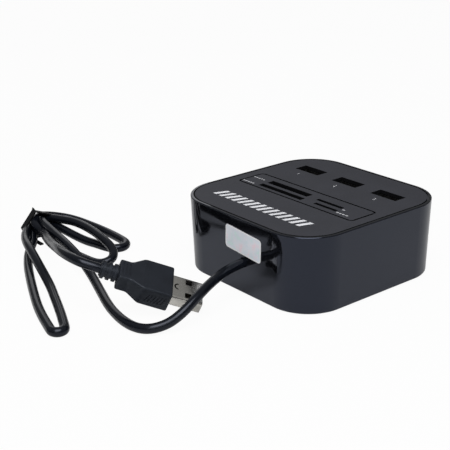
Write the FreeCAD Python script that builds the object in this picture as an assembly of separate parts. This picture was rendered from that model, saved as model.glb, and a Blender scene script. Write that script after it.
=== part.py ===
"""Desk hub with three upright USB ports and four card slots, its lead tied in a hank, and the lead's plug.

Millimetres, +Z up. The origin is under the middle of the hub, on the surface that its feet stand on.
X runs along the front, where the lead comes out, and +Y points to the row of USB ports.
"""
import FreeCAD, Part
import math
import os

from FreeCAD import Placement, Rotation, Vector

# Body
body_width = 76.4
body_height = 30.0
corner_radius = 17.4
side_taper = 1.0
wall = 2.0
rim_width = 1.15
base_fillet = 0.7
rim_fillet = 0.45
panel_thickness = 1.5
panel_gap = 0.6
deck_thickness = 1.8
cut_margin = 1.0

# Bottom cover, feet and screws
cover_thickness = 2.6
cover_gap = 0.15
foot_diameter = 8.5
foot_proud = 0.3
foot_pocket = 0.8
foot_gap = 0.1
foot_fillet = 0.2
foot_margin = 0.7
boss_diameter = 5.2
screw_diameter = 2.4
screw_length = 6.0
screw_gap = 0.1
screw_tip_gap = 1.0
screw_head_diameter = 4.6
screw_head_height = 0.9
head_bore_depth = 1.1
head_bore_gap = 0.2

# Main board and its posts
board_thickness = 1.6
board_side_gap = 5.0
board_back_gap = 4.0
board_front_gap = 14.0
board_boss_gap = 0.8
post_diameter = 5.0
post_height = 3.4
post_inset = 4.5
post_front_inset = 6.0
post_back_inset = 16.0
pin_diameter = 2.2
pin_gap = 0.2

# Row of USB ports
port_count = 3
port_pitch = 21.3
port_row_inset = 17.0
port_opening_width = 13.0
port_opening_depth = 6.0
port_shell_width = 13.2
port_shell_depth = 5.8
port_sheet = 0.3
port_shell_radius = 0.6
port_deck_gap = 0.6
port_mouth_gap = 0.2
tongue_width = 11.1
tongue_thickness = 1.8
tongue_length = 8.6
tongue_recess = 1.2
tongue_offset = 0.9
port_block_gap = 0.05
contact_count = 4
contact_pitch = 2.3
contact_width = 1.0
contact_thickness = 0.25
contact_length = 6.4

# Card slots: stick and card on the left, micro stick and micro card on the right
stick_slot_width = 23.0
stick_slot_depth = 3.4
stick_slot_x = -10.0
stick_slot_y = -1.5
card_slot_width = 24.6
card_slot_depth = 2.6
card_slot_x = -9.6
card_slot_y = -6.3
micro_stick_slot_width = 13.6
micro_stick_slot_depth = 1.7
micro_stick_slot_x = 13.4
micro_stick_slot_y = -2.2
micro_card_slot_width = 11.9
micro_card_slot_depth = 1.6
micro_card_slot_x = 14.8
micro_card_slot_y = -5.9
slot_deck_gap = 0.4
socket_wall = 0.7
socket_end_wall = 1.2
socket_floor = 3.0
socket_top_gap = 0.2
socket_pocket_gap = 0.1
finger_width = 0.8
finger_thickness = 0.2
finger_height = 6.0
finger_pitch = 2.2
finger_margin = 1.5
micro_finger_pitch = 1.1
micro_finger_width = 0.5

# Groove that frames the card slots
groove_width = 0.8
groove_depth = 0.7
groove_radius = 2.0
groove_frame_inset = 4.25
groove_frame_depth = 14.0
groove_frame_y = -3.0

# Small parts on the board
hub_chip_length = 17.9
hub_chip_width = 7.5
hub_chip_height = 2.3
hub_chip_leads = 14
hub_chip_pitch = 1.27
hub_lead_width = 0.5
hub_chip_x = -15.0
hub_chip_y = -15.5
reader_chip_size = 7.0
reader_chip_height = 1.4
reader_chip_leads = 12
reader_chip_pitch = 0.5
reader_lead_width = 0.22
reader_chip_x = 14.5
reader_chip_y = -14.0
chip_standoff = 0.1
hub_lead_reach = 1.4
reader_lead_reach = 0.7
lead_thickness = 0.2
lead_rise = 0.8
crystal_length = 11.0
crystal_width = 4.6
crystal_height = 3.6
crystal_flange = 0.5
crystal_x = 21.0
crystal_y = 9.5
capacitor_length = 2.0
capacitor_width = 1.25
capacitor_height = 1.2
capacitor_count = 6
capacitor_pitch = 6.0
capacitor_x = -22.0
capacitor_y = 9.5

# Label on the front
sticker_width = 20.0
sticker_height = 9.4
sticker_thickness = 0.12
sticker_radius = 1.4
sticker_tilt = 4.4
sticker_rise = 7.6

# Lead: where it leaves the front, and what holds it inside
cable_diameter = 3.6
cable_exit_x = 4.5
cable_exit_z = 13.4
cable_hole_gap = 0.2
cable_inner_end = 6.0
retainer_width = 2.5
retainer_thickness = 1.0
retainer_head = 3.2
retainer_gap = 0.1
core_count = 4
core_diameter = 0.75
core_pitch = 0.85
core_bend = 2.0
core_landing = 2.0

# Plug: its front face, its lie on the table and its sizes
plug_front = Vector(-3.2, -66.0, 8.3)
plug_heading = 57.2
plug_dip = 21.6
plug_roll = 18.0
plug_width = 16.0
plug_thickness = 8.0
plug_body_length = 11.0
plug_shoulder_length = 4.6
plug_shoulder_radius = 3.2
plug_neck_length = 4.4
plug_neck_width = 9.8
plug_neck_thickness = 6.6
plug_edge_fillet = 0.7
plug_side_ribs = 6
plug_rib_pitch = 1.2
plug_rib_width = 0.45
plug_rib_depth = 0.22
plug_rib_height = 3.6
plug_rib_slant = 18.0
plug_rib_start = 2.4
neck_grooves = 3
neck_groove_pitch = 1.3
neck_groove_width = 0.5
neck_groove_depth = 0.2
neck_groove_length = 6.0
relief_length = 6.5
relief_core = 5.2
relief_ring_diameter = 6.6
relief_ring_width = 1.1
relief_rings = 3
shell_width = 12.0
shell_thickness = 4.5
shell_exposed = 11.75
shell_buried = 7.0
shell_sheet = 0.3
shell_radius = 0.8
shell_window_along = 2.4
shell_window_across = 2.6
shell_window_offset = 3.5
shell_window_back = 6.2
shell_latch_radius = 1.6
shell_latch_slot = 0.55
shell_latch_back = 2.4
blade_thickness = 1.9
blade_gap = 0.08
blade_recess = 0.6
blade_contact_length = 7.5

# Tied end of the hank, where the strands are folded together: its section across X, as (y, z) from its middle
bundle_centre = Vector(-98.5, -65.0, 6.0)
bundle_length = 13.0
bundle_section = [(-7.4, -0.5), (-1.8, 5.6), (4.6, 2.9), (8.9, 0.2), (8.9, -3.3), (6.2, -5.2), (-5.7, -5.2)]
bundle_radius = 1.2

# Flat tie round the bundle, with one end standing up at the ridge and the other lying on the table
tie_width = 3.0
tie_thickness = 0.6
tie_gap = 0.1
tie_shift = -2.6
tie_tip_height = 1.4
tie_tip_half = 1.0
tie_tip_width = 1.4
tie_end_length = 11.5
tie_end_width = 1.6
tie_end_y = -69.8

# Route of the lead from the hub to the tied bundle, over the plug's metal and round in front of it
lead_route = [
    (11.5, -65.0, 10.0), (12.5, -72.0, 6.5), (11.0, -78.0, 3.2), (7.4, -84.2, 1.9), (0.0, -86.8, 1.9),
    (-14.6, -84.6, 1.9), (-33.0, -77.8, 1.9), (-46.8, -73.3, 3.0), (-57.0, -71.8, 5.8), (-67.5, -70.3, 7.2),
    (-83.0, -68.0, 7.8), (-93.5, -66.4, 8.2), (-101.5, -66.2, 7.6),
]
lead_straight = 6.1
lead_second_point = (8.5, -56.5, 12.0)

# Long narrow loop that lies towards the front
front_loop = [
    (-101.5, -66.2, 7.6), (-98.8, -69.7, 5.8), (-91.0, -78.4, 6.8), (-75.0, -83.8, 7.2), (-62.1, -87.0, 5.0),
    (-47.9, -90.5, 2.2), (-39.5, -93.7, 1.9), (-22.5, -100.2, 1.9), (-12.0, -104.3, 1.9),
    (-10.7, -107.2, 1.9), (-11.9, -110.0, 1.9), (-14.7, -111.0, 1.9), (-23.5, -107.0, 1.9),
    (-35.6, -102.4, 1.9), (-48.8, -97.4, 1.9), (-62.4, -91.4, 1.9), (-72.0, -86.8, 1.9), (-83.0, -80.6, 2.0),
    (-92.0, -73.0, 2.3), (-99.0, -67.5, 2.8),
]

# Outer loop on the hub's side of the tie
outer_loop = [
    (-99.0, -67.5, 2.8), (-103.0, -65.2, 3.6), (-103.6, -60.9, 4.2), (-100.0, -58.4, 4.4),
    (-86.0, -57.4, 3.1), (-78.4, -55.4, 1.9), (-72.8, -53.9, 1.9), (-67.6, -53.0, 1.9), (-63.3, -51.4, 1.9),
    (-62.0, -47.3, 1.9), (-64.6, -43.9, 1.9), (-70.3, -43.2, 1.9), (-79.5, -43.0, 1.9), (-90.5, -44.5, 2.5),
    (-101.8, -48.4, 4.0), (-105.4, -56.5, 6.4), (-102.5, -64.5, 8.0),
]

# Inner loop, which crosses over the outer one
inner_loop = [
    (-102.5, -64.5, 8.0), (-99.5, -69.0, 7.4), (-91.0, -68.0, 4.8), (-80.0, -67.3, 3.0), (-71.5, -66.9, 1.9),
    (-62.2, -66.3, 1.9), (-56.2, -65.6, 1.9), (-52.4, -64.0, 2.2), (-51.3, -60.4, 3.1), (-53.7, -57.3, 4.3),
    (-58.5, -55.8, 5.8), (-65.0, -55.2, 6.8), (-75.5, -54.0, 7.4), (-87.5, -54.5, 7.8), (-94.8, -57.4, 7.6),
    (-97.5, -63.0, 7.4),
]

# Tail from the tied bundle to the plug
tail_route = [
    (-97.5, -63.0, 7.4), (-94.0, -70.8, 7.0), (-85.0, -73.8, 8.8), (-71.0, -78.5, 11.5), (-56.0, -83.9, 15.0),
    (-42.0, -89.3, 18.9), (-32.0, -92.6, 21.0), (-24.6, -93.0, 21.2),
]
tail_straight = 5.5

# Heights that follow from the sizes above
base_z = foot_proud
top_z = base_z + body_height
deck_top = top_z - panel_thickness
deck_under = deck_top - deck_thickness
cover_top = base_z + cover_thickness
board_under = cover_top + post_height
board_top = board_under + board_thickness
screw_seat = base_z + foot_pocket + head_bore_depth

# Places across the body that follow from them
inner_half = body_width / 2 - side_taper - wall
board_width = 2 * (inner_half - board_side_gap)
board_back = inner_half - board_back_gap
board_front = board_front_gap - inner_half
port_row_y = body_width / 2 - port_row_inset
panel_size = body_width - 2 * (rim_width + panel_gap)
cover_corner = corner_radius - side_taper - wall - cover_gap
foot_reach = cover_corner - foot_margin - foot_gap - foot_diameter / 2
corner_place = body_width / 2 - corner_radius + foot_reach * math.sqrt(0.5)

solids = {}


def taper_at(z):
    """How far a side face stands in from its place at the top, at height z."""
    return side_taper * (top_z - z) / body_height


def outline(width, depth, radius, z, x=0.0, y=0.0):
    """Closed rounded rectangle, flat at height z, with its middle at x, y."""
    hx = width / 2
    hy = depth / 2
    bend = radius * (1 - math.sqrt(0.5))
    edges = []
    for sx, sy, flip in ((1, 1, False), (-1, 1, True), (-1, -1, False), (1, -1, True)):
        on_x = Vector(x + sx * hx, y + sy * (hy - radius), z)
        middle = Vector(x + sx * (hx - bend), y + sy * (hy - bend), z)
        on_y = Vector(x + sx * (hx - radius), y + sy * hy, z)
        ends = (on_y, on_x) if flip else (on_x, on_y)
        edges.append((ends[0], middle, ends[1]))
    shapes = []
    for i, (start, middle, end) in enumerate(edges):
        following = edges[(i + 1) % len(edges)][0]
        shapes.append(Part.Arc(start, middle, end).toShape())
        if (following - end).Length > 1e-6:
            shapes.append(Part.LineSegment(end, following).toShape())
    return Part.Wire(shapes)


def slab(width, depth, radius, z, height, x=0.0, y=0.0):
    """Upright prism with rounded corners."""
    return Part.Face(outline(width, depth, radius, z, x, y)).extrude(Vector(0, 0, height))


def block(width, depth, height, x, y, z):
    """Plain box with its middle at x, y and its underside at z."""
    return Part.makeBox(width, depth, height, Vector(x - width / 2, y - depth / 2, z))


def rod(diameter, height, x, y, z):
    """Upright cylinder standing at z."""
    return Part.makeCylinder(diameter / 2, height, Vector(x, y, z))


def body_prism(inset, low, high):
    """The body's tapered form, drawn in by inset, between two heights."""
    sections = []
    for z in (low, high):
        shrink = taper_at(z) + inset
        sections.append(outline(body_width - 2 * shrink, body_width - 2 * shrink, corner_radius - shrink, z))
    return Part.makeLoft(sections, True, True)


def edges_at(shape, z, tolerance=1e-3):
    """Edges that lie flat at height z."""
    flat = []
    for edge in shape.Edges:
        if abs(edge.BoundBox.ZMin - z) < tolerance and abs(edge.BoundBox.ZMax - z) < tolerance:
            flat.append(edge)
    return flat


def corner_points():
    """The four places of the feet, screws and bosses."""
    return [(sx * corner_place, sy * corner_place) for sx in (-1, 1) for sy in (-1, 1)]


def port_places():
    """Middles of the USB ports, along X."""
    return [(i - (port_count - 1) / 2) * port_pitch for i in range(port_count)]


def slot_table():
    """Name, width, depth, place and finger sizes of each card slot."""
    return [
        ("stick", stick_slot_width, stick_slot_depth, stick_slot_x, stick_slot_y, finger_width, finger_pitch),
        ("card", card_slot_width, card_slot_depth, card_slot_x, card_slot_y, finger_width, finger_pitch),
        ("micro_stick", micro_stick_slot_width, micro_stick_slot_depth, micro_stick_slot_x,
         micro_stick_slot_y, micro_finger_width, micro_finger_pitch),
        ("micro_card", micro_card_slot_width, micro_card_slot_depth, micro_card_slot_x,
         micro_card_slot_y, micro_finger_width, micro_finger_pitch),
    ]


def housing():
    """Gloss tub, open below: tapered walls, a recessed deck under the panel, and four screw bosses."""
    shell = body_prism(0, base_z, top_z)
    shell = shell.makeFillet(base_fillet, edges_at(shell, base_z))
    shell = shell.makeFillet(rim_fillet, edges_at(shell, top_z))
    shell = shell.cut(body_prism(wall, base_z - cut_margin, deck_under))
    recess = body_width - 2 * rim_width
    shell = shell.cut(slab(recess, recess, corner_radius - rim_width, deck_top,
                           panel_thickness + cut_margin))
    for x in port_places():
        hole_width = port_shell_width + 2 * port_deck_gap
        hole_depth = port_shell_depth + 2 * port_deck_gap
        shell = shell.cut(block(hole_width, hole_depth, deck_thickness + 2 * cut_margin, x, port_row_y,
                                deck_under - cut_margin))
    for name, width, depth, x, y, *fingers in slot_table():
        hole = (width + 2 * slot_deck_gap, depth + 2 * slot_deck_gap, deck_thickness + 2 * cut_margin)
        shell = shell.cut(block(*hole, x, y, deck_under - cut_margin))
    for x, y in corner_points():
        shell = shell.fuse(rod(boss_diameter, deck_under - cover_top, x, y, cover_top))
        bore_depth = screw_seat + screw_length + screw_tip_gap - cover_top
        shell = shell.cut(rod(screw_diameter, bore_depth, x, y, cover_top))
    hole_radius = cable_diameter / 2 + cable_hole_gap
    start = Vector(cable_exit_x, -body_width / 2 - cut_margin, cable_exit_z)
    shell = shell.cut(Part.makeCylinder(hole_radius, body_width / 4, start, Vector(0, 1, 0)))
    return shell.removeSplitter()


def top_panel():
    """Matt inlaid plate with the port openings, the card slots and the groove that frames them."""
    plate = slab(panel_size, panel_size, corner_radius - rim_width - panel_gap, deck_top, panel_thickness)
    through = panel_thickness + 2 * cut_margin
    for x in port_places():
        opening = block(port_opening_width, port_opening_depth, through, x, port_row_y, deck_top - cut_margin)
        plate = plate.cut(opening)
    for name, width, depth, x, y, *fingers in slot_table():
        plate = plate.cut(block(width, depth, through, x, y, deck_top - cut_margin))
    groove_z = top_z - groove_depth
    tall = groove_depth + cut_margin
    outer_width = panel_size - 2 * groove_frame_inset
    inner_width = outer_width - 2 * groove_width
    inner_depth = groove_frame_depth - 2 * groove_width
    ring = slab(outer_width, groove_frame_depth, groove_radius, groove_z, tall, 0, groove_frame_y)
    island = slab(inner_width, inner_depth, groove_radius - groove_width, groove_z, tall, 0, groove_frame_y)
    return plate.cut(ring.cut(island))


def bottom_cover():
    """Plate that closes the tub, with foot pockets, screw holes and the board's posts."""
    size = 2 * (inner_half - cover_gap)
    plate = slab(size, size, cover_corner, base_z, cover_thickness)
    for x, y in corner_points():
        plate = plate.cut(rod(foot_diameter + 2 * foot_gap, foot_pocket, x, y, base_z))
        head_bore = screw_head_diameter + 2 * head_bore_gap
        plate = plate.cut(rod(head_bore, head_bore_depth, x, y, base_z + foot_pocket))
        plate = plate.cut(rod(screw_diameter + 2 * screw_gap, cover_thickness, x, y, base_z))
    for x, y in post_points():
        plate = plate.fuse(rod(post_diameter, post_height, x, y, cover_top))
        plate = plate.fuse(rod(pin_diameter, board_thickness, x, y, board_under))
    return plate.removeSplitter()


def post_points():
    """Places of the board's posts."""
    side = board_width / 2 - post_inset
    rows = (board_front + post_front_inset, board_back - post_back_inset)
    return [(sx * side, y) for sx in (-1, 1) for y in rows]


def feet():
    """Four rubber discs, each let into its pocket over a screw."""
    discs = []
    for x, y in corner_points():
        disc = rod(foot_diameter, foot_proud + foot_pocket, x, y, 0)
        discs.append(disc.makeFillet(foot_fillet, edges_at(disc, 0)))
    return discs


def cover_screws():
    """Self-tapping screws, driven up through the cover into the bosses."""
    screws = []
    for x, y in corner_points():
        head = rod(screw_head_diameter, screw_head_height, x, y, screw_seat - screw_head_height)
        shank = rod(screw_diameter - 2 * screw_gap, screw_length, x, y, screw_seat)
        screws.append(head.fuse(shank).removeSplitter())
    return Part.makeCompound(screws)


def main_board():
    """Board on the cover's posts, cut away round the screw bosses."""
    depth = board_back - board_front
    plate = block(board_width, depth, board_thickness, 0, (board_front + board_back) / 2, board_under)
    notch = body_width / 2
    shift = notch / 2 - boss_diameter / 2 - board_boss_gap
    for x, y in corner_points():
        plate = plate.cut(block(notch, notch, board_thickness, x + math.copysign(shift, x),
                                y + math.copysign(shift, y), board_under))
    for x, y in post_points():
        plate = plate.cut(rod(pin_diameter + 2 * pin_gap, board_thickness, x, y, board_under))
    return plate


def usb_ports():
    """Shell, insulator and contacts of each upright port."""
    mouth = deck_top - port_mouth_gap
    height = mouth - board_top
    inner_width = port_shell_width - 2 * port_sheet
    inner_depth = port_shell_depth - 2 * port_sheet
    tongue_top = mouth - tongue_recess
    block_height = tongue_top - tongue_length - board_top
    for number, x in enumerate(port_places(), 1):
        tube = slab(port_shell_width, port_shell_depth, port_shell_radius, board_top, height, x, port_row_y)
        tube = tube.cut(slab(inner_width, inner_depth, port_shell_radius - port_sheet, board_top - cut_margin,
                             height + 2 * cut_margin, x, port_row_y))
        solids["usb_shell_%d" % number] = tube
        base = slab(inner_width - 2 * port_block_gap, inner_depth - 2 * port_block_gap,
                    port_shell_radius - port_sheet, board_top, block_height, x, port_row_y)
        tongue_y = port_row_y + tongue_offset
        tongue = block(tongue_width, tongue_thickness, tongue_top - board_top, x, tongue_y, board_top)
        solids["usb_insulator_%d" % number] = base.fuse(tongue).removeSplitter()
        face_y = tongue_y - tongue_thickness / 2 - contact_thickness / 2
        strips = []
        for i in range(contact_count):
            strip_x = x + (i - (contact_count - 1) / 2) * contact_pitch
            strips.append(block(contact_width, contact_thickness, contact_length, strip_x, face_y,
                                board_top + block_height))
        solids["usb_contacts_%d" % number] = Part.makeCompound(strips)


def card_sockets():
    """Moulded socket under each card slot, with its row of contact fingers."""
    height = deck_under - socket_top_gap - board_top
    for name, width, depth, x, y, strip_width, pitch in slot_table():
        pocket_width = width + 2 * socket_pocket_gap
        pocket_depth = depth + 2 * socket_pocket_gap
        outer_width = pocket_width + 2 * socket_end_wall
        body = block(outer_width, pocket_depth + 2 * socket_wall, height, x, y, board_top)
        pocket_floor = board_top + socket_floor
        body = body.cut(block(pocket_width, pocket_depth, height, x, y, pocket_floor))
        solids[name + "_socket"] = body
        count = int((width - 2 * finger_margin) / pitch)
        strip_y = y - pocket_depth / 2 + finger_thickness / 2
        strips = []
        for i in range(count):
            strip_x = x + (i - (count - 1) / 2) * pitch
            strips.append(block(strip_width, finger_thickness, finger_height, strip_x, strip_y, pocket_floor))
        solids[name + "_contacts"] = Part.makeCompound(strips)


def gull_leads(count, pitch, width, reach, side):
    """One row of flat leads along X, each dropping from a chip's side at y = side to a foot on the board."""
    leads = []
    for i in range(count):
        lead_x = (i - (count - 1) / 2) * pitch
        foot_y = side + math.copysign(reach / 2, side)
        leads.append(block(width, reach, lead_thickness, lead_x, foot_y, 0))
        drop_y = side + math.copysign(lead_thickness / 2, side)
        leads.append(block(width, lead_thickness, lead_rise, lead_x, drop_y, 0))
    return leads


def chips():
    """Hub controller with two rows of leads, and card controller with four."""
    body = block(hub_chip_length, hub_chip_width, hub_chip_height, 0, 0, chip_standoff)
    rows = []
    for side in (-1, 1):
        rows += gull_leads(hub_chip_leads, hub_chip_pitch, hub_lead_width, hub_lead_reach,
                           side * hub_chip_width / 2)
    hub = body.multiFuse(rows).removeSplitter()
    hub.translate(Vector(hub_chip_x, hub_chip_y, board_top))
    solids["hub_chip"] = hub
    body = block(reader_chip_size, reader_chip_size, reader_chip_height, 0, 0, chip_standoff)
    rows = []
    for turn in (0, 90):
        for side in (-1, 1):
            for lead in gull_leads(reader_chip_leads, reader_chip_pitch, reader_lead_width, reader_lead_reach,
                                   side * reader_chip_size / 2):
                lead.rotate(Vector(), Vector(0, 0, 1), turn)
                rows.append(lead)
    reader = body.multiFuse(rows).removeSplitter()
    reader.translate(Vector(reader_chip_x, reader_chip_y, board_top))
    solids["reader_chip"] = reader


def small_parts():
    """Crystal can on its flange, and a row of chip capacitors."""
    grow = 2 * crystal_flange
    flange = slab(crystal_length + grow, crystal_width + grow, (crystal_width + grow) / 2, board_top,
                  crystal_flange, crystal_x, crystal_y)
    can = slab(crystal_length, crystal_width, crystal_width / 2, board_top, crystal_height,
               crystal_x, crystal_y)
    solids["crystal"] = can.fuse(flange).removeSplitter()
    row = []
    for i in range(capacitor_count):
        row.append(block(capacitor_length, capacitor_width, capacitor_height,
                         capacitor_x + i * capacitor_pitch, capacitor_y, board_top))
    solids["chip_capacitors"] = Part.makeCompound(row)


def front_face_y(z):
    """Place of the tapered front face at height z."""
    return -(body_width / 2 - taper_at(z))


def side_sticker():
    """Thin label on the front, a little askew, lying on the leaning face."""
    label = Part.Face(outline(sticker_width, sticker_height, sticker_radius, 0))
    label = label.extrude(Vector(0, 0, sticker_thickness))
    middle_z = cable_exit_z + sticker_rise
    lean = math.degrees(math.atan(side_taper / body_height))
    label.rotate(Vector(), Vector(0, 0, 1), -sticker_tilt)
    label.rotate(Vector(), Vector(1, 0, 0), 90 + lean)
    label.translate(Vector(cable_exit_x, front_face_y(middle_z), middle_z))
    return label


def cord(points, label):
    """Tube along straight runs joined by tangent arcs, each as large as its two runs allow."""
    corners = [Vector(*p) for p in points]
    edges = []
    last = corners[0]
    radii = []
    for before, here, after in zip(corners, corners[1:], corners[2:]):
        back = (before - here).normalize()
        onward = (after - here).normalize()
        trim = 0.45 * min((before - here).Length, (after - here).Length)
        half_turn = (math.pi - back.getAngle(onward)) / 2
        radius = trim / math.tan(half_turn)
        radii.append(radius)
        start = here + back * trim
        end = here + onward * trim
        inward = (back + onward).normalize()
        middle = here + inward * (radius / math.cos(half_turn) - radius)
        edges.append(Part.LineSegment(last, start).toShape())
        edges.append(Part.Arc(start, middle, end).toShape())
        last = end
    edges.append(Part.LineSegment(last, corners[-1]).toShape())
    path = Part.Wire(edges)
    ring = Part.Circle(corners[0], corners[1] - corners[0], cable_diameter / 2)
    tube = path.makePipeShell([Part.Wire(ring.toShape())], True, False)
    expected = math.pi * cable_diameter ** 2 / 4 * path.Length
    print("%s: length %.1f, smallest radius %.1f, volume ratio %.4f"
          % (label, path.Length, min(radii), tube.Volume / expected))
    return tube


def bundle_wire(x):
    """The bundle's closed section at one place along X."""
    corners = [Vector(x, bundle_centre.y + y, bundle_centre.z + z) for y, z in bundle_section]
    return Part.makePolygon(corners + corners[:1])


def bundle():
    """Outer form of the folded strands that the tie holds together."""
    start = bundle_centre.x - bundle_length / 2
    form = Part.Face(bundle_wire(start)).extrude(Vector(bundle_length, 0, 0))
    return form.makeFillet(bundle_radius, form.Edges)


def twist_tie():
    """Flat tie wound once round the bundle, one end up at the ridge, the other along the table."""
    back = bundle_centre.x + tie_shift - tie_width / 2
    section = bundle_wire(back)
    inner = section.makeOffset2D(tie_gap)
    outer = section.makeOffset2D(tie_gap + tie_thickness)
    band = Part.Face(outer).cut(Part.Face(inner)).extrude(Vector(tie_width, 0, 0))
    lift = tie_gap + tie_thickness / 2
    before, ridge, after = [Vector(back, bundle_centre.y + y, bundle_centre.z + z + lift)
                            for y, z in bundle_section[:3]]
    left = ridge + (before - ridge).normalize() * tie_tip_half
    right = ridge + (after - ridge).normalize() * tie_tip_half
    apex = ridge + Vector(0, 0, tie_tip_height)
    tip = Part.Face(Part.makePolygon([left, ridge, right, apex, left])).extrude(Vector(tie_tip_width, 0, 0))
    under = outer.BoundBox.ZMin
    end = block(tie_end_length, tie_end_width, tie_thickness, back + tie_end_length / 2, tie_end_y, under)
    return band.fuse(tip).fuse(end).removeSplitter()


def lie_on_table(shape):
    """Moves a piece of the plug from its own frame, nose along +X, to where the plug lies."""
    pose = Placement(plug_front, Rotation(plug_heading, plug_dip, plug_roll))
    shape.Placement = pose.multiply(shape.Placement)
    return shape


def waisted(front_half, neck_half, depth):
    """Upright prism with the grip's outline: wide front, bent shoulders and narrow neck."""
    shoulder = -plug_body_length
    neck = shoulder - plug_shoulder_length
    rear = neck - plug_neck_length
    corners = [(0, front_half), (shoulder, front_half), (neck, neck_half), (rear, neck_half)]
    corners += [(x, -y) for x, y in reversed(corners)]
    points = [Vector(x, y, -depth / 2) for x, y in corners]
    prism = Part.Face(Part.makePolygon(points + points[:1])).extrude(Vector(0, 0, depth))
    bends = []
    for edge in prism.Edges:
        upright = edge.BoundBox.ZLength > depth / 2
        if upright and rear + cut_margin < edge.BoundBox.Center.x < -cut_margin:
            bends.append(edge)
    return prism.makeFillet(plug_shoulder_radius, bends)


def plug_overmould():
    """Moulded grip: wide front, shoulders, slimmer neck and a ribbed strain relief, all in one."""
    plan = waisted(plug_width / 2, plug_neck_width / 2, plug_thickness)
    side = waisted(plug_thickness / 2, plug_neck_thickness / 2, plug_width)
    side.rotate(Vector(), Vector(1, 0, 0), 90)
    grip = plan.common(side)
    grip = grip.makeFillet(plug_edge_fillet, grip.Edges)
    neck = -plug_body_length - plug_shoulder_length
    rear = neck - plug_neck_length
    for side in (-1, 1):
        for i in range(plug_side_ribs):
            cutter = block(plug_rib_width, 2 * plug_rib_depth, plug_rib_height, 0, 0, -plug_rib_height / 2)
            cutter.rotate(Vector(), Vector(0, 1, 0), plug_rib_slant)
            cutter.translate(Vector(-plug_rib_start - i * plug_rib_pitch, side * plug_width / 2, 0))
            grip = grip.cut(cutter)
        for i in range(neck_grooves):
            groove_x = neck - (i + 0.5) * neck_groove_pitch
            grip = grip.cut(block(neck_groove_width, neck_groove_length, 2 * neck_groove_depth, groove_x, 0,
                                  side * plug_neck_thickness / 2 - neck_groove_depth))
    along = Vector(1, 0, 0)
    start = Vector(rear - relief_length, 0, 0)
    relief = Part.makeCylinder(relief_core / 2, relief_length + cut_margin, start, along)
    step = relief_length / relief_rings
    for i in range(relief_rings):
        ring_start = Vector(rear - i * step - step / 2 - relief_ring_width / 2, 0, 0)
        ring = Part.makeCylinder(relief_ring_diameter / 2, relief_ring_width, ring_start, along)
        relief = relief.fuse(ring)
    grip = grip.fuse(relief).removeSplitter()
    return grip.cut(metal_form(0))


def metal_form(inset):
    """Rounded bar along the plug's axis, the size of the metal shell drawn in by inset."""
    wire = outline(shell_width - 2 * inset, shell_thickness - 2 * inset, shell_radius - inset, 0)
    bar = Part.Face(wire).extrude(Vector(0, 0, shell_exposed + shell_buried))
    bar.rotate(Vector(), Vector(0, 0, 1), 90)
    bar.rotate(Vector(), Vector(0, 1, 0), 90)
    bar.translate(Vector(-shell_buried, 0, 0))
    return bar


def plug_shell():
    """Folded metal shell with two windows and a small latch cut in each broad face."""
    shell = metal_form(0).cut(metal_form(shell_sheet))
    for side in (-1, 1):
        window = block(shell_window_along, shell_window_across, shell_thickness + 2 * cut_margin,
                       shell_window_back, side * shell_window_offset, -shell_thickness / 2 - cut_margin)
        shell = shell.cut(window)
    latch = rod(2 * shell_latch_radius, shell_thickness, shell_latch_back, 0, 0)
    tongue_diameter = 2 * (shell_latch_radius - shell_latch_slot)
    latch = latch.cut(rod(tongue_diameter, shell_thickness, shell_latch_back, 0, 0))
    latch = latch.cut(block(2 * shell_latch_radius, 2 * shell_latch_radius, shell_thickness,
                            shell_latch_back + shell_latch_radius, 0, 0))
    return shell.cut(latch)


def plug_blade():
    """Plastic blade in the lower half of the shell, and the four contacts on it."""
    inner_width = shell_width - 2 * (shell_sheet + blade_gap)
    floor = -shell_thickness / 2 + shell_sheet + blade_gap
    length = shell_exposed + shell_buried - blade_recess
    blade = block(length, inner_width, blade_thickness, length / 2 - shell_buried, 0, floor)
    blade = blade.common(metal_form(shell_sheet + blade_gap))
    strips = []
    for i in range(contact_count):
        strip_y = (i - (contact_count - 1) / 2) * contact_pitch
        tip = shell_exposed - 2 * blade_recess
        strips.append(block(blade_contact_length, contact_width, contact_thickness,
                            tip - blade_contact_length / 2, strip_y, floor + blade_thickness))
    return blade, Part.makeCompound(strips)


def cable_retainer():
    """Small tie drawn tight on the lead just inside the wall, so that it can't be pulled out."""
    start_y = front_face_y(cable_exit_z) + wall + 2 * retainer_gap
    start = Vector(cable_exit_x, start_y, cable_exit_z)
    bore = cable_diameter / 2 + retainer_gap
    ring = Part.makeCylinder(bore + retainer_thickness, retainer_width, start, Vector(0, 1, 0))
    head = block(retainer_head, retainer_width, retainer_head, cable_exit_x, start_y + retainer_width / 2,
                 cable_exit_z + bore)
    ring = ring.fuse(head).removeSplitter()
    return ring.cut(Part.makeCylinder(bore, retainer_width, start, Vector(0, 1, 0)))


def lead_cores(start_y):
    """Four cores from the cut end of the jacket, bent down on to the board."""
    landing_y = board_front + core_landing
    cores = []
    for i in range(core_count):
        x = cable_exit_x + (i - (core_count - 1) / 2) * core_pitch
        start = Vector(x, start_y, cable_exit_z)
        bend_start = Vector(x, landing_y - core_bend, cable_exit_z)
        quarter = core_bend * math.sqrt(0.5)
        middle = Vector(x, landing_y - core_bend + quarter, cable_exit_z - core_bend + quarter)
        bend_end = Vector(x, landing_y, cable_exit_z - core_bend)
        path = Part.Wire([
            Part.LineSegment(start, bend_start).toShape(),
            Part.Arc(bend_start, middle, bend_end).toShape(),
            Part.LineSegment(bend_end, Vector(x, landing_y, board_top)).toShape(),
        ])
        ring = Part.Wire(Part.Circle(start, Vector(0, 1, 0), core_diameter / 2).toShape())
        cores.append(path.makePipeShell([ring], True, False))
    return Part.makeCompound(cores)


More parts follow.
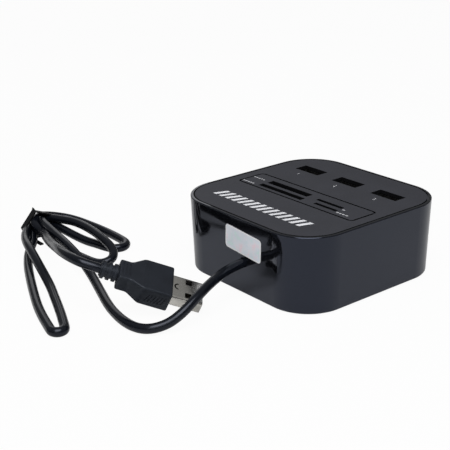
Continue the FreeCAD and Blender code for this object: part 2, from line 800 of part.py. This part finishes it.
def cable():
    """The lead from inside the hub to its plug: a run, a tied hank of three loops, and a tail."""
    inner_y = front_face_y(cable_exit_z) + cable_inner_end
    inside = (cable_exit_x, inner_y, cable_exit_z)
    outside = (cable_exit_x, front_face_y(cable_exit_z) - lead_straight, cable_exit_z)
    run = cord([inside, outside, lead_second_point] + lead_route, "lead run")
    hank = bundle()
    for points, label in ((front_loop, "front loop"), (outer_loop, "outer loop"), (inner_loop, "inner loop")):
        hank = hank.fuse(cord(points, label))
    hank = hank.removeSplitter()
    nose = Rotation(plug_heading, plug_dip, plug_roll).multVec(Vector(1, 0, 0))
    plug_length = plug_body_length + plug_shoulder_length + plug_neck_length + relief_length
    relief_end = plug_front - nose * plug_length
    approach = relief_end - nose * tail_straight
    tail = cord(tail_route + [tuple(approach), tuple(relief_end)], "tail")
    solids["cable_lead"] = run.cut(hank)
    solids["cable_hank"] = hank
    solids["cable_tail"] = tail.cut(hank)
    solids["lead_cores"] = lead_cores(inner_y)


solids["housing_shell"] = housing()
solids["top_panel"] = top_panel()
solids["bottom_cover"] = bottom_cover()
for number, foot in enumerate(feet(), 1):
    solids["rubber_foot_%d" % number] = foot
solids["cover_screws"] = cover_screws()
solids["main_board"] = main_board()
usb_ports()
card_sockets()
chips()
small_parts()
solids["side_sticker"] = side_sticker()
solids["cable_retainer"] = cable_retainer()
cable()
solids["twist_tie"] = twist_tie()
solids["plug_overmould"] = lie_on_table(plug_overmould())
solids["plug_shell"] = lie_on_table(plug_shell())
blade, blade_contacts = plug_blade()
solids["plug_blade"] = lie_on_table(blade)
solids["plug_contacts"] = lie_on_table(blade_contacts)

os.makedirs("parts", exist_ok=True)
for name, shape in solids.items():
    shape.exportStep("parts/%s.step" % name)
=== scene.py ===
"""Desk hub with upright USB ports and card slots, dressed for a studio picture.

Metres, +Z up, in the frame's axes.
"""
import math

import bpy
from mathutils import Matrix, Vector


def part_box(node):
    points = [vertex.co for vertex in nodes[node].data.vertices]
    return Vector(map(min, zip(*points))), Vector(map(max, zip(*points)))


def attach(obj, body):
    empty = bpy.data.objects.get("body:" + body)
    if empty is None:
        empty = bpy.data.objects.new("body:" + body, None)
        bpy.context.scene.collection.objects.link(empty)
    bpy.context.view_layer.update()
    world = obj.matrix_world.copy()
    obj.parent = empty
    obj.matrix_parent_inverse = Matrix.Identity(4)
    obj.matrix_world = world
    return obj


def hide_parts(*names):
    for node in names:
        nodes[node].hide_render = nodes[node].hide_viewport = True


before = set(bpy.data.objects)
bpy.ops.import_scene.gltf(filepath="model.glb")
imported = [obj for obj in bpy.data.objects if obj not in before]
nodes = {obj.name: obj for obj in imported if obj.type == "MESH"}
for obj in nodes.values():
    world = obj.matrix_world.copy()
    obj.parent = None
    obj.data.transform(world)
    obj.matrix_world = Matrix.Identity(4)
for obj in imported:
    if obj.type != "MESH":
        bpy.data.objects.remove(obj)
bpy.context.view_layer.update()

# Camera
camera_place = Vector((0.27171, -0.25932, 0.16025))
camera_back = Vector((0.7308, -0.5829, 0.3553))
camera_up = Vector((-0.2650, 0.2374, 0.9346))
camera_lens = 81.26
camera_sensor = 36.0

# Studio: the sky's level goes from low to high between two heights of the view's direction
sky_low = 0.16
sky_high = 0.30
sky_low_rise = 0.30
sky_high_rise = 0.85
key_power = 7.8
key_place = Vector((0.35, -0.30, 0.90))
key_size = 0.72
back_power = 0.58
back_place = Vector((-0.92, 0.36, 0.40))
back_size = 0.5
front_power = 2.2
front_place = Vector((0.75, -0.85, 0.75))
front_size = 0.8

# Table
floor_half = 4.0
floor_glow = 0.95
floor_mirror_glow = 0.05
floor_tone = 0.75
floor_roughness = 0.9

# Cord
cord_diameter = 0.0036
cord_section_steps = 6
cord_line_steps = 10
cord_order = 3

# Run from the hub, over the plug's metal and round in front of it, to the tied end
lead_run = [
    (0.0045, -0.0316, 0.0134), (0.0045, -0.0437, 0.0134), (0.0085, -0.0565, 0.0120),
    (0.0115, -0.0650, 0.0100), (0.0125, -0.0720, 0.0065), (0.0110, -0.0780, 0.0032),
    (0.0074, -0.0842, 0.0019), (0.0000, -0.0868, 0.0019), (-0.0146, -0.0846, 0.0019),
    (-0.0330, -0.0778, 0.0019), (-0.0468, -0.0733, 0.0030), (-0.0570, -0.0718, 0.0058),
    (-0.0675, -0.0703, 0.0072), (-0.0830, -0.0680, 0.0078), (-0.0935, -0.0664, 0.0082),
    (-0.0990, -0.0647, 0.0080),
]

# Long narrow loop towards the front
front_loop = [
    (-0.1024, -0.0650, 0.0073), (-0.1036, -0.0672, 0.0060), (-0.1026, -0.0695, 0.0052),
    (-0.1000, -0.0716, 0.0051), (-0.0956, -0.0745, 0.0056), (-0.0910, -0.0773, 0.0062),
    (-0.0840, -0.0807, 0.0069), (-0.0750, -0.0838, 0.0072), (-0.0621, -0.0870, 0.0050),
    (-0.0479, -0.0905, 0.0022), (-0.0395, -0.0937, 0.0019), (-0.0250, -0.0994, 0.0019),
    (-0.0180, -0.1024, 0.0019), (-0.0139, -0.1042, 0.0019), (-0.0118, -0.1054, 0.0019),
    (-0.0111, -0.1070, 0.0019), (-0.0117, -0.1087, 0.0019), (-0.0134, -0.1096, 0.0019),
    (-0.0155, -0.1091, 0.0019), (-0.0195, -0.1080, 0.0019), (-0.0265, -0.1060, 0.0019),
    (-0.0356, -0.1029, 0.0019), (-0.0488, -0.0974, 0.0019), (-0.0624, -0.0914, 0.0019),
    (-0.0720, -0.0868, 0.0019), (-0.0830, -0.0806, 0.0020), (-0.0920, -0.0730, 0.0023),
]

# Outer loop on the hub's side of the tie
outer_loop = [
    (-0.1003, -0.0689, 0.0028), (-0.1036, -0.0666, 0.0036), (-0.1044, -0.0636, 0.0042),
    (-0.1032, -0.0606, 0.0043), (-0.0996, -0.0586, 0.0043), (-0.0860, -0.0574, 0.0031),
    (-0.0784, -0.0554, 0.0019), (-0.0728, -0.0539, 0.0019), (-0.0676, -0.0530, 0.0019),
    (-0.0633, -0.0514, 0.0019), (-0.0620, -0.0473, 0.0019), (-0.0646, -0.0439, 0.0019),
    (-0.0703, -0.0432, 0.0019), (-0.0795, -0.0430, 0.0019), (-0.0905, -0.0445, 0.0025),
    (-0.1018, -0.0484, 0.0040), (-0.1054, -0.0565, 0.0064),
]

# Inner loop, which crosses over the outer one
inner_loop = [
    (-0.1027, -0.0641, 0.0089), (-0.0995, -0.0690, 0.0076), (-0.0910, -0.0680, 0.0048),
    (-0.0800, -0.0673, 0.0030), (-0.0715, -0.0669, 0.0019), (-0.0622, -0.0663, 0.0019),
    (-0.0562, -0.0656, 0.0019), (-0.0524, -0.0640, 0.0022), (-0.0513, -0.0604, 0.0031),
    (-0.0537, -0.0573, 0.0043), (-0.0585, -0.0558, 0.0058), (-0.0650, -0.0552, 0.0068),
    (-0.0755, -0.0540, 0.0074), (-0.0875, -0.0545, 0.0078), (-0.0948, -0.0574, 0.0076),
    (-0.0994, -0.0592, 0.0075), (-0.1022, -0.0609, 0.0069), (-0.1033, -0.0632, 0.0058),
]

# Tail to the plug
tail_run = [
    (-0.1024, -0.0655, 0.0048), (-0.0994, -0.0670, 0.0045), (-0.0944, -0.0686, 0.0050),
    (-0.0844, -0.0717, 0.0078), (-0.0702, -0.0782, 0.0115), (-0.0560, -0.0839, 0.0150),
    (-0.0420, -0.0893, 0.0189), (-0.0320, -0.0926, 0.0210), (-0.0246, -0.0930, 0.0212),
    (-0.0193, -0.0910, 0.0201), (-0.0165, -0.0867, 0.0181),
]

# Print on the top panel: each group of marks has its left and right end, its y and its count
print_lift = 0.00002
stripe_tone = 0.80
mark_tone = 0.46
ink_dark = (0.92, 0.93, 0.97)
ink_light = (1.08, 1.09, 1.14)
numeral_height = 0.0016
numeral_height_share = 0.7
numeral_y = 0.0140
numeral_x = (-0.0217, -0.0004, 0.0209)
mark_height = 0.0008
mark_share = 0.7
mark_groups = [
    (-0.0310, -0.0242, -0.0018, 5),
    (-0.0310, -0.0240, -0.0077, 5),
    (0.0212, 0.0230, -0.0034, 1),
    (0.0215, 0.0278, -0.0069, 4),
]
stripe_low_y = -0.0272
stripe_high_y = -0.0214
stripe_left_x = -0.0265
stripe_slant = 0.0021
stripe_width = 0.0019
stripe_gap = 0.00175
stripe_count = 14

# Label
label_width = 0.0200
label_height = 0.0094
label_edge = 0.0006
label_tilt = math.radians(4.4)
label_edge_tone = (0.92, 0.93, 0.96)
label_tint_scale = 260.0
label_tints = [
    (0.34, (0.72, 0.91, 0.89)),
    (0.44, (0.81, 0.87, 0.95)),
    (0.56, (0.86, 0.89, 0.96)),
    (0.68, (0.94, 0.82, 0.90)),
]

# Top panel: a coat on what faces up by more than the share, and near-black painted shade on the walls of its
# openings and grooves
panel_coat_dark = (0.033, 0.034, 0.041)
panel_coat_light = (0.039, 0.040, 0.048)
panel_wall_painted_shade = (0.0020, 0.0020, 0.0024)
panel_upward_share = 0.5
panel_drift = 0.009
panel_grain = 0.00035

# Inside: the four cores' colours across the lead, and the board's lacquer
core_colours = [(0.5, 0.03, 0.02), (0.7, 0.7, 0.68), (0.03, 0.3, 0.06), (0.02, 0.02, 0.02)]
board_lacquer = ((0.012, 0.10, 0.03), (0.016, 0.12, 0.04))
board_track_tone = (0.03, 0.20, 0.06)
board_track_scale = 160.0
board_track_share = 0.03

# Textures
noise_low = 0.3
noise_high = 0.7
drift_per_grain = 25
metal_line = 0.0006
metal_line_detail = 4.0
ramp_middle = 0.5


def add_node(tree, kind, sockets=None, **settings):
    """One shader node with its settings and unlinked inputs."""
    made = tree.nodes.new(kind)
    for name, value in settings.items():
        setattr(made, name, value)
    for name, value in (sockets or {}).items():
        made.inputs[name].default_value = value
    return made


def new_material(name, roughness, metallic=0.0, **sockets):
    """A material with its own shader, tree and constants."""
    material = bpy.data.materials.new(name)
    material.use_nodes = True
    shader = material.node_tree.nodes["Principled BSDF"]
    shader.inputs["Roughness"].default_value = roughness
    shader.inputs["Metallic"].default_value = metallic
    for socket, value in sockets.items():
        shader.inputs[socket.replace("_", " ")].default_value = value
    return material, material.node_tree, shader


def noise(tree, feature, detail=3.0, stretch=(1, 1, 1)):
    """Noise in the frame's own axes, with features of about the given size."""
    place = add_node(tree, "ShaderNodeTexCoord")
    mapping = add_node(tree, "ShaderNodeMapping", {"Scale": stretch})
    tree.links.new(place.outputs["Object"], mapping.inputs["Vector"])
    texture = add_node(tree, "ShaderNodeTexNoise", {"Scale": 1 / feature, "Detail": detail})
    tree.links.new(mapping.outputs["Vector"], texture.inputs["Vector"])
    return texture.outputs["Fac"]


def ramp(tree, factor, stops, interpolation="LINEAR"):
    """Colour from a factor, through (position, colour) stops."""
    made = add_node(tree, "ShaderNodeValToRGB")
    band = made.color_ramp
    band.interpolation = interpolation
    while len(band.elements) < len(stops):
        band.elements.new(ramp_middle)
    for element, (position, colour) in zip(band.elements, stops):
        element.position = position
        element.color = (*colour, 1)
    tree.links.new(factor, made.inputs["Fac"])
    return made.outputs["Color"]


def two_tone(tree, factor, dark, light):
    """Colour that drifts between two tones with a noise."""
    return ramp(tree, factor, [(noise_low, dark), (noise_high, light)])


def pick(tree, factor, first, second):
    """Colour that goes from the first to the second with a factor; either may be a constant or an output."""
    mix = add_node(tree, "ShaderNodeMix", data_type="RGBA")
    for socket, colour in (("A", first), ("B", second)):
        if isinstance(colour, tuple):
            mix.inputs[socket].default_value = (*colour, 1)
        else:
            tree.links.new(colour, mix.inputs[socket])
    tree.links.new(factor, mix.inputs["Factor"])
    return mix.outputs["Result"]


def roughen(tree, shader, factor, low, high):
    """Roughness that follows a factor between two levels."""
    spread = add_node(tree, "ShaderNodeMapRange", {
        "From Min": noise_low, "From Max": noise_high, "To Min": low, "To Max": high})
    tree.links.new(factor, spread.inputs["Value"])
    tree.links.new(spread.outputs["Result"], shader.inputs["Roughness"])


def emboss(tree, shader, height, strength, depth):
    """Fine relief from a height."""
    relief = add_node(tree, "ShaderNodeBump", {"Strength": strength, "Distance": depth})
    tree.links.new(height, relief.inputs["Height"])
    tree.links.new(relief.outputs["Normal"], shader.inputs["Normal"])


def moulded(name, dark, light, smooth, rough, grain, depth, strength=0.3, **sockets):
    """Moulded plastic or rubber: two close tones, uneven gloss and a fine grain."""
    material, tree, shader = new_material(name, (smooth + rough) / 2, **sockets)
    drift = noise(tree, grain * drift_per_grain)
    tree.links.new(two_tone(tree, drift, dark, light), shader.inputs["Base Color"])
    roughen(tree, shader, drift, smooth, rough)
    emboss(tree, shader, noise(tree, grain), strength, depth)
    return material


def plated(name, dark, light, smooth, rough, stretch):
    """Plated or drawn metal with faint lines along one way."""
    material, tree, shader = new_material(name, (smooth + rough) / 2, metallic=1.0)
    lines = noise(tree, metal_line, metal_line_detail, stretch)
    tree.links.new(two_tone(tree, lines, dark, light), shader.inputs["Base Color"])
    roughen(tree, shader, lines, smooth, rough)
    emboss(tree, shader, lines, strength=0.15, depth=0.00002)
    return material


def panel_material():
    """Grey matt coat on the panel's top, with near-black painted shade on the walls of its openings and
    grooves.
    """
    material, tree, shader = new_material(
        "matt_panel", roughness=0.6, Specular_IOR_Level=0.30, Specular_Tint=(0.86, 0.89, 1.0, 1))
    drift = noise(tree, panel_drift)
    coat = two_tone(tree, drift, panel_coat_dark, panel_coat_light)
    surface = add_node(tree, "ShaderNodeNewGeometry")
    parts = add_node(tree, "ShaderNodeSeparateXYZ")
    tree.links.new(surface.outputs["True Normal"], parts.inputs["Vector"])
    # Walls that face up less than the share get the near-black painted shade of the openings and grooves; the
    # rest gets the coat
    upward = add_node(tree, "ShaderNodeMath", {1: panel_upward_share}, operation="GREATER_THAN")
    tree.links.new(parts.outputs["Z"], upward.inputs[0])
    tree.links.new(pick(tree, upward.outputs[0], panel_wall_painted_shade, coat), shader.inputs["Base Color"])
    roughen(tree, shader, drift, low=0.55, high=0.66)
    emboss(tree, shader, noise(tree, panel_grain), strength=0.35, depth=0.00003)
    return material


def film_material():
    """Pale label film with a whiter edge and faint rainbow tints."""
    low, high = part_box("side_sticker")
    middle = (Vector(low) + Vector(high)) / 2
    material, tree, shader = new_material("label_film", roughness=0.28)
    place = add_node(tree, "ShaderNodeTexCoord")
    mapping = add_node(tree, "ShaderNodeMapping", {"Location": middle, "Rotation": (0, label_tilt, 0)},
                       vector_type="TEXTURE")
    tree.links.new(place.outputs["Object"], mapping.inputs["Vector"])
    tint = add_node(tree, "ShaderNodeTexNoise", {"Scale": label_tint_scale, "Detail": 2.0})
    tree.links.new(mapping.outputs["Vector"], tint.inputs["Vector"])
    field = ramp(tree, tint.outputs["Fac"], label_tints)
    parts = add_node(tree, "ShaderNodeSeparateXYZ")
    tree.links.new(mapping.outputs["Vector"], parts.inputs["Vector"])
    edges = []
    for axis, length in (("X", label_width), ("Z", label_height)):
        size = add_node(tree, "ShaderNodeMath", operation="ABSOLUTE")
        tree.links.new(parts.outputs[axis], size.inputs[0])
        beyond = add_node(tree, "ShaderNodeMath", {1: length / 2 - label_edge}, operation="GREATER_THAN")
        tree.links.new(size.outputs[0], beyond.inputs[0])
        edges.append(beyond.outputs[0])
    either = add_node(tree, "ShaderNodeMath", operation="MAXIMUM")
    tree.links.new(edges[0], either.inputs[0])
    tree.links.new(edges[1], either.inputs[1])
    tree.links.new(pick(tree, either.outputs[0], field, label_edge_tone), shader.inputs["Base Color"])
    emboss(tree, shader, noise(tree, feature=0.002), strength=0.1, depth=0.00003)
    return material


def core_material():
    """Insulation of the cores, one colour for each."""
    low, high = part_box("lead_cores")
    material, tree, shader = new_material("core_insulation", roughness=0.4)
    place = add_node(tree, "ShaderNodeTexCoord")
    parts = add_node(tree, "ShaderNodeSeparateXYZ")
    tree.links.new(place.outputs["Object"], parts.inputs["Vector"])
    across = add_node(tree, "ShaderNodeMapRange", {"From Min": low[0], "From Max": high[0]})
    tree.links.new(parts.outputs["X"], across.inputs["Value"])
    bands = [(i / len(core_colours), colour) for i, colour in enumerate(core_colours)]
    tree.links.new(ramp(tree, across.outputs["Result"], bands, "CONSTANT"), shader.inputs["Base Color"])
    emboss(tree, shader, noise(tree, feature=0.0004), strength=0.1, depth=0.00002)
    return material


def board_material():
    """Green lacquer over copper lines."""
    material, tree, shader = new_material("board_lacquer", roughness=0.35)
    place = add_node(tree, "ShaderNodeTexCoord")
    tracks = add_node(tree, "ShaderNodeTexBrick", {
        "Color1": (*board_lacquer[0], 1), "Color2": (*board_lacquer[1], 1), "Mortar": (*board_track_tone, 1),
        "Scale": board_track_scale, "Mortar Size": board_track_share})
    tree.links.new(place.outputs["Object"], tracks.inputs["Vector"])
    tree.links.new(tracks.outputs["Color"], shader.inputs["Base Color"])
    emboss(tree, shader, tracks.outputs["Fac"], strength=0.2, depth=0.00003)
    return material


def dress(material, *names):
    """Gives CAD nodes their finish."""
    for name in names:
        slots = nodes[name].data.materials
        slots.clear()
        slots.append(material)


def numbered(name, count):
    """Names of the nodes of a set."""
    return ["%s_%d" % (name, i + 1) for i in range(count)]


def finish_body():
    """Finishes of the housing, the panel, the label and what is underneath."""
    dress(moulded("gloss_black", dark=(0.0030, 0.0032, 0.0040), light=(0.0042, 0.0045, 0.0056), smooth=0.03,
                  rough=0.07, grain=0.0012, depth=0.000004, strength=0.06, Specular_IOR_Level=0.64,
                  Specular_Tint=(0.66, 0.74, 1.0, 1)), "housing_shell")
    dress(panel_material(), "top_panel")
    dress(film_material(), "side_sticker")
    dress(moulded("cover_plastic", dark=(0.010, 0.010, 0.011), light=(0.016, 0.016, 0.017), smooth=0.45,
                  rough=0.6, grain=0.0004, depth=0.00004), "bottom_cover")
    dress(moulded("foot_rubber", dark=(0.010, 0.010, 0.010), light=(0.018, 0.018, 0.018), smooth=0.7,
                  rough=0.85, grain=0.0005, depth=0.00004), *numbered("rubber_foot", 4))


def finish_sockets():
    """Finishes of the ports, the card sockets and the plug's insulator."""
    dress(moulded("black_insulator", dark=(0.004, 0.004, 0.0045), light=(0.007, 0.007, 0.008), smooth=0.5,
                  rough=0.65, grain=0.0005, depth=0.00002, Specular_IOR_Level=0.20),
          *numbered("usb_insulator", 3), "stick_socket", "card_socket", "micro_stick_socket",
          "micro_card_socket", "plug_blade")
    # The port shells' steel is darkened as painted shade for the depth of the ports
    dress(plated("port_steel_painted_shade", dark=(0.12, 0.12, 0.12), light=(0.18, 0.18, 0.175), smooth=0.3, rough=0.42,
                 stretch=(1, 1, 0.2)), *numbered("usb_shell", 3))
    dress(plated("contact_gold", dark=(0.62, 0.45, 0.17), light=(0.74, 0.56, 0.25), smooth=0.2, rough=0.3,
                 stretch=(1, 1, 0.3)),
          *numbered("usb_contacts", 3), "stick_contacts", "card_contacts", "micro_stick_contacts",
          "micro_card_contacts")


def finish_board():
    """Finishes of the board, what is on it, the screws and the lead's inner end."""
    dress(board_material(), "main_board")
    dress(moulded("chip_black", dark=(0.010, 0.010, 0.010), light=(0.018, 0.018, 0.018), smooth=0.5,
                  rough=0.65, grain=0.0003, depth=0.00002), "hub_chip", "reader_chip")
    dress(moulded("ceramic", dark=(0.36, 0.26, 0.16), light=(0.46, 0.34, 0.22), smooth=0.45, rough=0.6,
                  grain=0.0004, depth=0.00002), "chip_capacitors")
    dress(moulded("nylon", dark=(0.58, 0.58, 0.55), light=(0.68, 0.68, 0.65), smooth=0.4, rough=0.5,
                  grain=0.0005, depth=0.00002), "cable_retainer")
    dress(plated("steel", dark=(0.45, 0.45, 0.44), light=(0.58, 0.58, 0.57), smooth=0.25, rough=0.38,
                 stretch=(1, 1, 4)), "cover_screws", "crystal")
    dress(core_material(), "lead_cores")


def finish_plug():
    """Finishes of the plug and the tie."""
    dress(moulded("plug_grip", dark=(0.0095, 0.0112, 0.0155), light=(0.0130, 0.0152, 0.0210), smooth=0.36,
                  rough=0.48, grain=0.0003, depth=0.00002, Specular_IOR_Level=0.34,
                  Specular_Tint=(0.80, 0.88, 1.0, 1)), "plug_overmould")
    dress(plated("plug_metal", dark=(0.56, 0.55, 0.51), light=(0.72, 0.70, 0.66), smooth=0.14, rough=0.22,
                 stretch=(1, 1, 6)), "plug_shell")
    # The plug's contacts are contact metal, darkened as painted shade for the inside of the shell's windows
    dress(plated("contact_metal_and_painted_shade", dark=(0.16, 0.14, 0.10), light=(0.24, 0.21, 0.15), smooth=0.3, rough=0.4,
                 stretch=(1, 1, 0.3)), "plug_contacts")
    dress(moulded("tie_film", dark=(0.003, 0.003, 0.004), light=(0.006, 0.006, 0.007), smooth=0.40, rough=0.5,
                  grain=0.0005, depth=0.00004, Specular_IOR_Level=0.25), "twist_tie")


def place_camera():
    """Camera at the photograph's viewing angle."""
    lens = bpy.data.cameras.new("camera")
    lens.lens = camera_lens
    lens.sensor_width = camera_sensor
    camera = bpy.data.objects.new("camera", lens)
    back = camera_back.normalized()
    right = camera_up.cross(back).normalized()
    up = back.cross(right)
    axes = Matrix((right, up, back)).transposed().to_4x4()
    camera.matrix_world = Matrix.Translation(camera_place) @ axes
    bpy.context.collection.objects.link(camera)
    bpy.context.scene.camera = camera


def place_light(name, place, size, power):
    """Square soft box, aimed at the object."""
    lamp = bpy.data.lights.new(name, "AREA")
    lamp.size = size
    lamp.energy = power
    box = bpy.data.objects.new(name, lamp)
    box.location = place
    box.rotation_euler = (-place).to_track_quat("-Z", "Y").to_euler()
    bpy.context.collection.objects.link(box)


def floor_share(tree):
    """How much of the floor is plain white.

    Most to the camera, some in mirrors and glass, none to other rays.
    """
    path = add_node(tree, "ShaderNodeLightPath")
    total = None
    for name, level in (("Is Camera Ray", floor_glow), ("Is Glossy Ray", floor_mirror_glow),
                        ("Is Transmission Ray", floor_mirror_glow)):
        part = add_node(tree, "ShaderNodeMath", {1: level}, operation="MULTIPLY")
        tree.links.new(path.outputs[name], part.inputs[0])
        if total is None:
            total = part.outputs[0]
            continue
        most = add_node(tree, "ShaderNodeMath", operation="MAXIMUM")
        tree.links.new(total, most.inputs[0])
        tree.links.new(part.outputs[0], most.inputs[1])
        total = most.outputs[0]
    return total


def light_world():
    """Studio round the table: dim walls and a paler ceiling."""
    world = bpy.data.worlds.new("studio")
    bpy.context.scene.world = world
    world.use_nodes = True
    tree = world.node_tree
    place = add_node(tree, "ShaderNodeTexCoord")
    parts = add_node(tree, "ShaderNodeSeparateXYZ")
    tree.links.new(place.outputs["Generated"], parts.inputs["Vector"])
    level = add_node(tree, "ShaderNodeMapRange", {
        "From Min": sky_low_rise, "From Max": sky_high_rise, "To Min": sky_low, "To Max": sky_high})
    tree.links.new(parts.outputs["Z"], level.inputs["Value"])
    tree.links.new(level.outputs["Result"], tree.nodes["Background"].inputs["Strength"])
    tree.nodes["Background"].inputs["Color"].default_value = (1, 1, 1, 1)


def lay_floor():
    """White table that keeps a soft shadow."""
    mesh = bpy.data.meshes.new("floor")
    corners = [(x * floor_half, y * floor_half, 0) for x, y in ((-1, -1), (1, -1), (1, 1), (-1, 1))]
    mesh.from_pydata(corners, [], [(0, 1, 2, 3)])
    floor = bpy.data.objects.new("floor", mesh)
    bpy.context.collection.objects.link(floor)
    material, tree, shader = new_material("white_table", floor_roughness, Specular_IOR_Level=0.0,
                                          Base_Color=(floor_tone, floor_tone, floor_tone, 1))
    glow = add_node(tree, "ShaderNodeEmission", {"Color": (1, 1, 1, 1), "Strength": 1.0})
    mix = add_node(tree, "ShaderNodeMixShader")
    tree.links.new(floor_share(tree), mix.inputs["Fac"])
    tree.links.new(shader.outputs["BSDF"], mix.inputs[1])
    tree.links.new(glow.outputs["Emission"], mix.inputs[2])
    tree.links.new(mix.outputs["Shader"], tree.nodes["Material Output"].inputs["Surface"])
    mesh.materials.append(material)


def jacket_material():
    """The lead's black jacket, smoother than the plug's grip."""
    return moulded("cable_jacket", dark=(0.0030, 0.0038, 0.0062), light=(0.0050, 0.0062, 0.0095), smooth=0.17,
                   rough=0.23, grain=0.0004, depth=0.00002, strength=0.06, Specular_IOR_Level=0.34,
                   Specular_Tint=(0.80, 0.85, 1.0, 1))


def cable():
    """The lead, one smooth line from inside the wall to the plug."""
    route = lead_run + front_loop + outer_loop + inner_loop + tail_run
    curve = bpy.data.curves.new("cable", "CURVE")
    curve.dimensions = "3D"
    curve.bevel_depth = cord_diameter / 2
    curve.bevel_resolution = cord_section_steps
    curve.resolution_u = cord_line_steps
    curve.use_fill_caps = True
    spline = curve.splines.new("NURBS")
    spline.points.add(len(route) - 1)
    for point, place in zip(spline.points, route):
        point.co = (*place, 1)
    spline.order_u = cord_order
    spline.use_endpoint_u = True
    made = bpy.data.objects.new("cable", curve)
    bpy.context.collection.objects.link(made)
    curve.materials.append(jacket_material())
    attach(made, "root")
    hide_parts("cable_lead", "cable_hank", "cable_tail")


def print_material(name, tone):
    """Pale ink, a little uneven."""
    dark = tuple(share * tone for share in ink_dark)
    light = tuple(share * tone for share in ink_light)
    return moulded(name, dark, light, smooth=0.45, rough=0.6, grain=0.0003, depth=0.00001)


def print_height():
    """Height of the ink, just clear of the panel's top."""
    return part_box("top_panel")[1][2] + print_lift


def print_piece(name, outlines, ink):
    """Flat printed shapes on the panel, each a ring of (x, y) corners."""
    points = []
    faces = []
    for ring in outlines:
        faces.append(tuple(range(len(points), len(points) + len(ring))))
        points += [(x, y, print_height()) for x, y in ring]
    mesh = bpy.data.meshes.new(name)
    mesh.from_pydata(points, [], faces)
    mesh.materials.append(ink)
    piece = bpy.data.objects.new(name, mesh)
    bpy.context.collection.objects.link(piece)
    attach(piece, "root")


def slanted(x, low_y, high_y, width, slant):
    """Corners of one leaning bar."""
    return [(x, low_y), (x + width, low_y), (x + width + slant, high_y), (x + slant, high_y)]


def front_stripes(ink):
    """Row of plain leaning bars across the front."""
    step = stripe_width + stripe_gap
    row = [slanted(stripe_left_x + i * step, stripe_low_y, stripe_high_y, stripe_width, stripe_slant)
           for i in range(stripe_count)]
    print_piece("front_stripes", row, ink)


def slot_marks(ink):
    """Short plain bars by the card slots."""
    bars = []
    for left, right, y, count in mark_groups:
        step = (right - left) / count
        for i in range(count):
            bars.append(slanted(left + i * step, y - mark_height / 2, y + mark_height / 2,
                                width=step * mark_share, slant=0))
    print_piece("slot_marks", bars, ink)


def port_numerals(ink):
    """The ports' numbers."""
    for number, x in enumerate(numeral_x, 1):
        text = bpy.data.curves.new("numeral_%d" % number, "FONT")
        text.body = str(number)
        text.size = numeral_height / numeral_height_share
        text.align_x = "CENTER"
        text.align_y = "CENTER"
        text.materials.append(ink)
        piece = bpy.data.objects.new("numeral_%d" % number, text)
        piece.location = (x, numeral_y, print_height())
        bpy.context.collection.objects.link(piece)
        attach(piece, "root")


bpy.context.scene.view_settings.view_transform = "Standard"
place_camera()
place_light("key", key_place, key_size, key_power)
place_light("back", back_place, back_size, back_power)
place_light("front", front_place, front_size, front_power)
light_world()
lay_floor()
finish_body()
finish_sockets()
finish_board()
finish_plug()
cable()
white_ink = print_material("white_ink", stripe_tone)
front_stripes(white_ink)
port_numerals(white_ink)
slot_marks(print_material("fine_ink", mark_tone))
